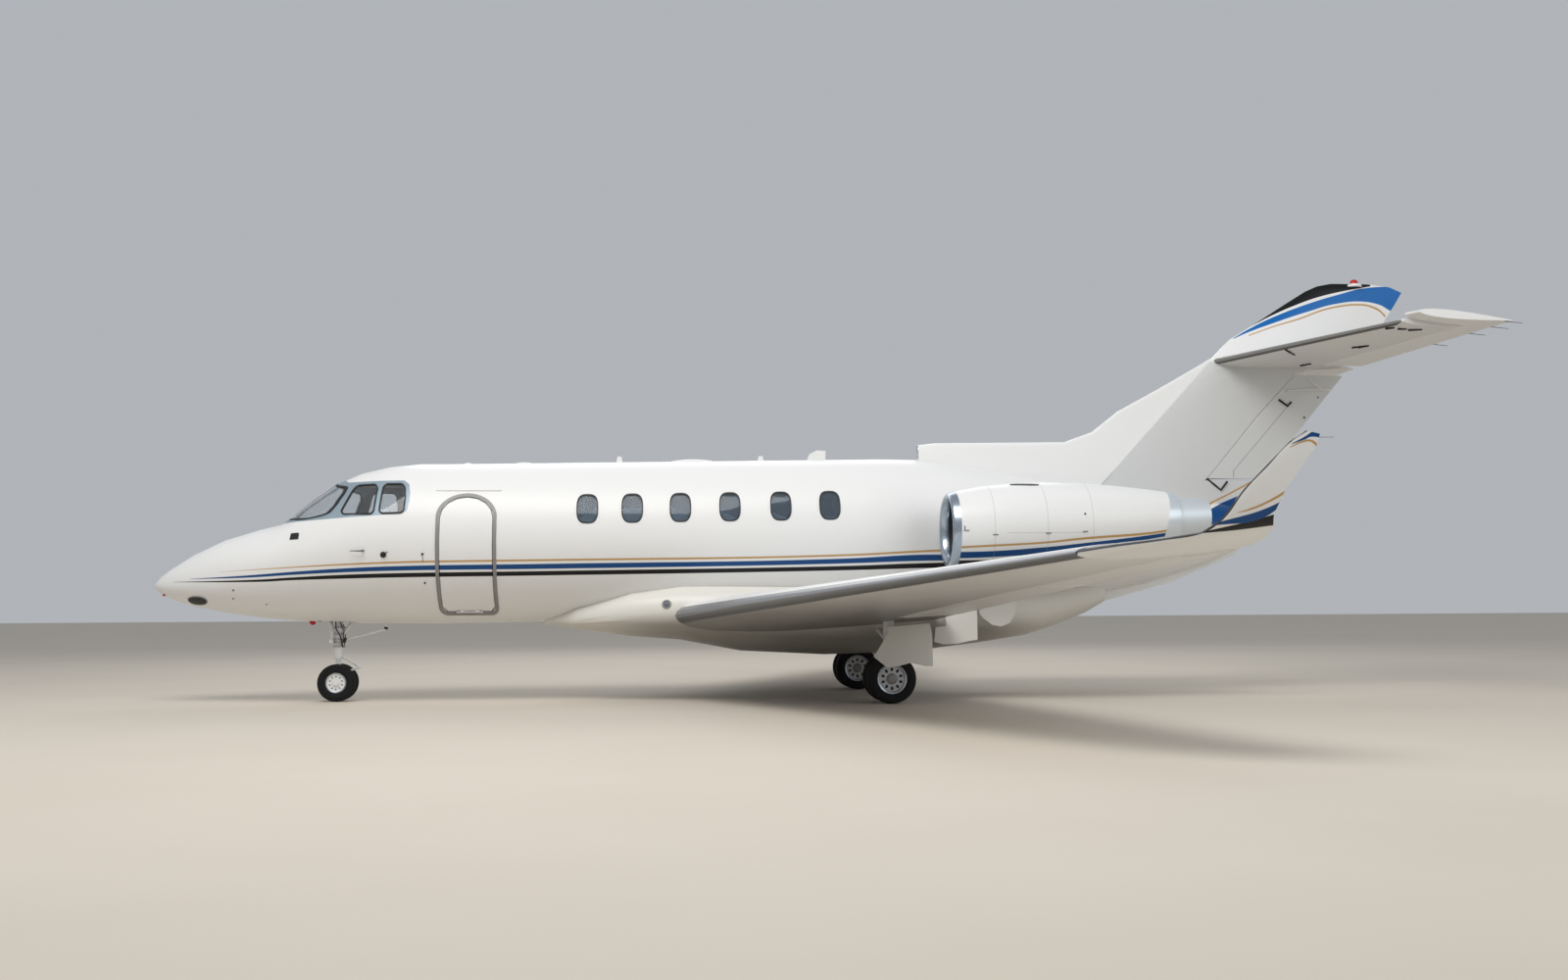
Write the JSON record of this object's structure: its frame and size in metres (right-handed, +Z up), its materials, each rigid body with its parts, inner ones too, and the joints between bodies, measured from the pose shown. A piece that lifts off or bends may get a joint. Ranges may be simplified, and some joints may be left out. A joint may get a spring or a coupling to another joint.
{
  "type": "business jet",
  "caption": "Swept-wing business jet with rear-mounted turbofans, T-tail and winglets, parked on twin-wheel tricycle gear.",
  "frame": {"origin": "middle of the bounding box's footprint, on the ground under the tyres", "axes": "+X towards the nose, +Y to port, +Z up"},
  "size_m": [15.6, 16.5598, 5.225],
  "materials": {
    "white_paint": "gloss",
    "belly_paint": "gloss",
    "polished_metal": "polished",
    "bare_metal": "satin",
    "glazing": "polished",
    "tyre_rubber": "matte",
    "cream_leather": "satin",
    "dark_trim": "matte"
  },
  "bodies": {
    "airframe": {"radome": "white_paint", "nose_section": "white_paint", "cockpit_frame": "polished_metal", "cockpit_glass": "glazing", "cockpit_shell": "white_paint", "cabin_shell": "white_paint", "cabin_windows_left": "glazing", "cabin_windows_right": "glazing", "belly_fairing": "belly_paint", "wing_left": "white_paint", "wing_right": "white_paint", "winglet_left": "white_paint", "winglet_right": "white_paint", "cowl_left": "white_paint", "cowl_right": "white_paint", "intake_lip_left": "polished_metal", "intake_lip_right": "polished_metal", "engine_left": "bare_metal", "engine_right": "bare_metal", "pylon_left": "white_paint", "pylon_right": "white_paint", "dorsal_fin": "white_paint", "tailplane": "white_paint", "fin": "white_paint", "fin_cap": "white_paint", "aft_body": "white_paint", "nose_leg": "white_paint", "main_leg_left": "white_paint", "main_leg_right": "white_paint", "leg_door_left": "belly_paint", "leg_door_right": "belly_paint", "bay_door_front_left": "belly_paint", "bay_door_front_right": "belly_paint", "bay_door_rear_left": "belly_paint", "bay_door_rear_right": "belly_paint", "cabin_floor": "bare_metal", "cabin_seats": "cream_leather", "pilot_seats": "cream_leather", "instrument_panel": "dark_trim", "aerial": "white_paint"},
    "cabin_door": {"door": "white_paint"},
    "flap_port": {"flap_left": "white_paint"},
    "flap_starboard": {"flap_right": "white_paint"},
    "aileron_port": {"aileron_left": "white_paint"},
    "aileron_starboard": {"aileron_right": "white_paint"},
    "elevator_port": {"elevator_left": "white_paint"},
    "elevator_starboard": {"elevator_right": "white_paint"},
    "rudder": {"rudder": "white_paint"},
    "fan_port": {"fan_left": "bare_metal"},
    "fan_starboard": {"fan_right": "bare_metal"},
    "nose_strut": {"nose_fork": "white_paint"},
    "nose_wheels": {"nose_hub": "white_paint", "nose_tyre_left": "tyre_rubber", "nose_tyre_right": "tyre_rubber"},
    "main_wheels_port": {"main_hub_left": "bare_metal", "main_tyre_outer_left": "tyre_rubber", "main_tyre_inner_left": "tyre_rubber"},
    "main_wheels_starboard": {"main_hub_right": "bare_metal", "main_tyre_outer_right": "tyre_rubber", "main_tyre_inner_right": "tyre_rubber"}
  },
  "joints": [
    {"name": "door_hinge", "type": "hinge", "parent": "airframe", "child": "cabin_door", "pos_m": [4.05, 0.522, 1.052], "axis": [-1, 0, 0], "range_deg": [0, 115]},
    {"name": "flap_left_hinge", "type": "hinge", "parent": "airframe", "child": "flap_port", "pos_m": [-0.87565, 1.88, 1.06434], "axis": [0.2262, -0.9706, -0.0821], "range_deg": [0, 45]},
    {"name": "flap_right_hinge", "type": "hinge", "parent": "airframe", "child": "flap_starboard", "pos_m": [-0.87565, -1.88, 1.06434], "axis": [-0.2262, -0.9706, 0.0821], "range_deg": [0, 45]},
    {"name": "aileron_left_hinge", "type": "hinge", "parent": "airframe", "child": "aileron_port", "pos_m": [-2.10399, 7.15, 1.51018], "axis": [0.2262, -0.9706, -0.0821], "range_deg": [-15, 15]},
    {"name": "aileron_right_hinge", "type": "hinge", "parent": "airframe", "child": "aileron_starboard", "pos_m": [-2.10399, -7.15, 1.51018], "axis": [-0.2262, -0.9706, 0.0821], "range_deg": [-15, 15]},
    {"name": "elevator_left_hinge", "type": "hinge", "parent": "airframe", "child": "elevator_port", "pos_m": [-6.64017, 0.17, 4.185], "axis": [-0.1591, 0.9873, 0], "range_deg": [-7, 22]},
    {"name": "elevator_right_hinge", "type": "hinge", "parent": "airframe", "child": "elevator_starboard", "pos_m": [-6.64017, -0.17, 4.185], "axis": [0.1591, 0.9873, 0], "range_deg": [-7, 22]},
    {"name": "rudder_hinge", "type": "hinge", "parent": "airframe", "child": "rudder", "pos_m": [-5.086, 0, 2.66], "axis": [-0.669, 0, 0.7433], "range_deg": [-24, 24]},
    {"name": "fan_left_spin", "type": "hinge", "parent": "airframe", "child": "fan_port", "pos_m": [-2.04, 1.393, 1.976], "axis": [1, 0, 0], "continuous": true},
    {"name": "fan_right_spin", "type": "hinge", "parent": "airframe", "child": "fan_starboard", "pos_m": [-2.04, -1.393, 1.976], "axis": [1, 0, 0], "continuous": true},
    {"name": "nose_steering", "type": "hinge", "parent": "airframe", "child": "nose_strut", "pos_m": [5.655, 0, 0.64], "axis": [0, 0, 1], "range_deg": [-45, 45]},
    {"name": "nose_wheel_spin", "type": "hinge", "parent": "nose_strut", "child": "nose_wheels", "pos_m": [5.655, 0, 0.222], "axis": [0, 1, 0], "continuous": true},
    {"name": "main_wheel_left_spin", "type": "hinge", "parent": "airframe", "child": "main_wheels_port", "pos_m": [-0.772, 1.395, 0.28], "axis": [0, 1, 0], "continuous": true},
    {"name": "main_wheel_right_spin", "type": "hinge", "parent": "airframe", "child": "main_wheels_starboard", "pos_m": [-0.772, -1.395, 0.28], "axis": [0, 1, 0], "continuous": true}
  ],
  "couplings": [
    {"joint": "flap_right_hinge", "follows": "flap_left_hinge", "ratio": 1},
    {"joint": "aileron_right_hinge", "follows": "aileron_left_hinge", "ratio": -1},
    {"joint": "elevator_right_hinge", "follows": "elevator_left_hinge", "ratio": 1}
  ]
}
